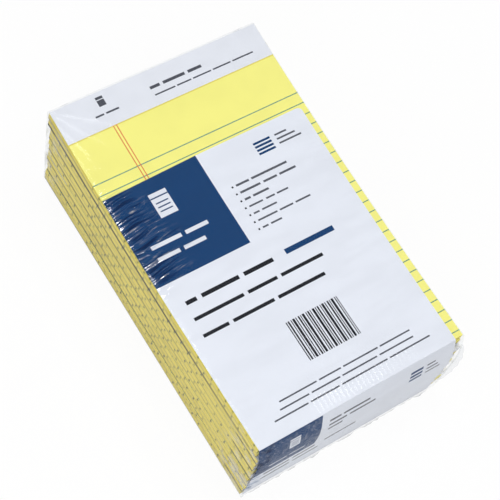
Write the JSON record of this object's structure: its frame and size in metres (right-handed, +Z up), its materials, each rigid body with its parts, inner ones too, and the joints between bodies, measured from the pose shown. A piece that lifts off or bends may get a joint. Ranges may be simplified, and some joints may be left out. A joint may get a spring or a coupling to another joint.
{
  "type": "shrink-wrapped pack of legal pads",
  "caption": "Stack of canary junior legal pads with white headers, sealed in clear shrink film over a white and navy paper label that folds down one end.",
  "frame": {"origin": "on the ground, under the middle of the pack's box", "axes": "+X across the pads, to the right of a reader of the top page; +Y along the pads, towards the bound end of the top pad; +Z up, out of the top page"},
  "size_m": [0.1315, 0.2117, 0.0647],
  "materials": {
    "canary_sheets": "matte",
    "chipboard": "matte",
    "header_paper": "matte",
    "label_paper": "satin",
    "clear_film": "gloss"
  },
  "bodies": {
    "root": {"pad_01_board": "chipboard", "pad_01_sheets": "canary_sheets", "pad_01_header": "header_paper", "pad_02_board": "chipboard", "pad_02_sheets": "canary_sheets", "pad_02_header": "header_paper", "pad_03_board": "chipboard", "pad_03_sheets": "canary_sheets", "pad_03_header": "header_paper", "pad_04_board": "chipboard", "pad_04_sheets": "canary_sheets", "pad_04_header": "header_paper", "pad_05_board": "chipboard", "pad_05_sheets": "canary_sheets", "pad_05_header": "header_paper", "pad_06_board": "chipboard", "pad_06_sheets": "canary_sheets", "pad_06_header": "header_paper", "pad_07_board": "chipboard", "pad_07_sheets": "canary_sheets", "pad_07_header": "header_paper", "pad_08_board": "chipboard", "pad_08_sheets": "canary_sheets", "pad_08_header": "header_paper", "pad_09_board": "chipboard", "pad_09_sheets": "canary_sheets", "pad_09_header": "header_paper", "pad_10_board": "chipboard", "pad_10_sheets": "canary_sheets", "pad_10_header": "header_paper", "pad_11_board": "chipboard", "pad_11_sheets": "canary_sheets", "pad_11_header": "header_paper", "pad_12_board": "chipboard", "pad_12_sheets": "canary_sheets", "pad_12_header": "header_paper", "wrap_label": "label_paper", "shrink_film": "clear_film"}
  },
  "joints": []
}
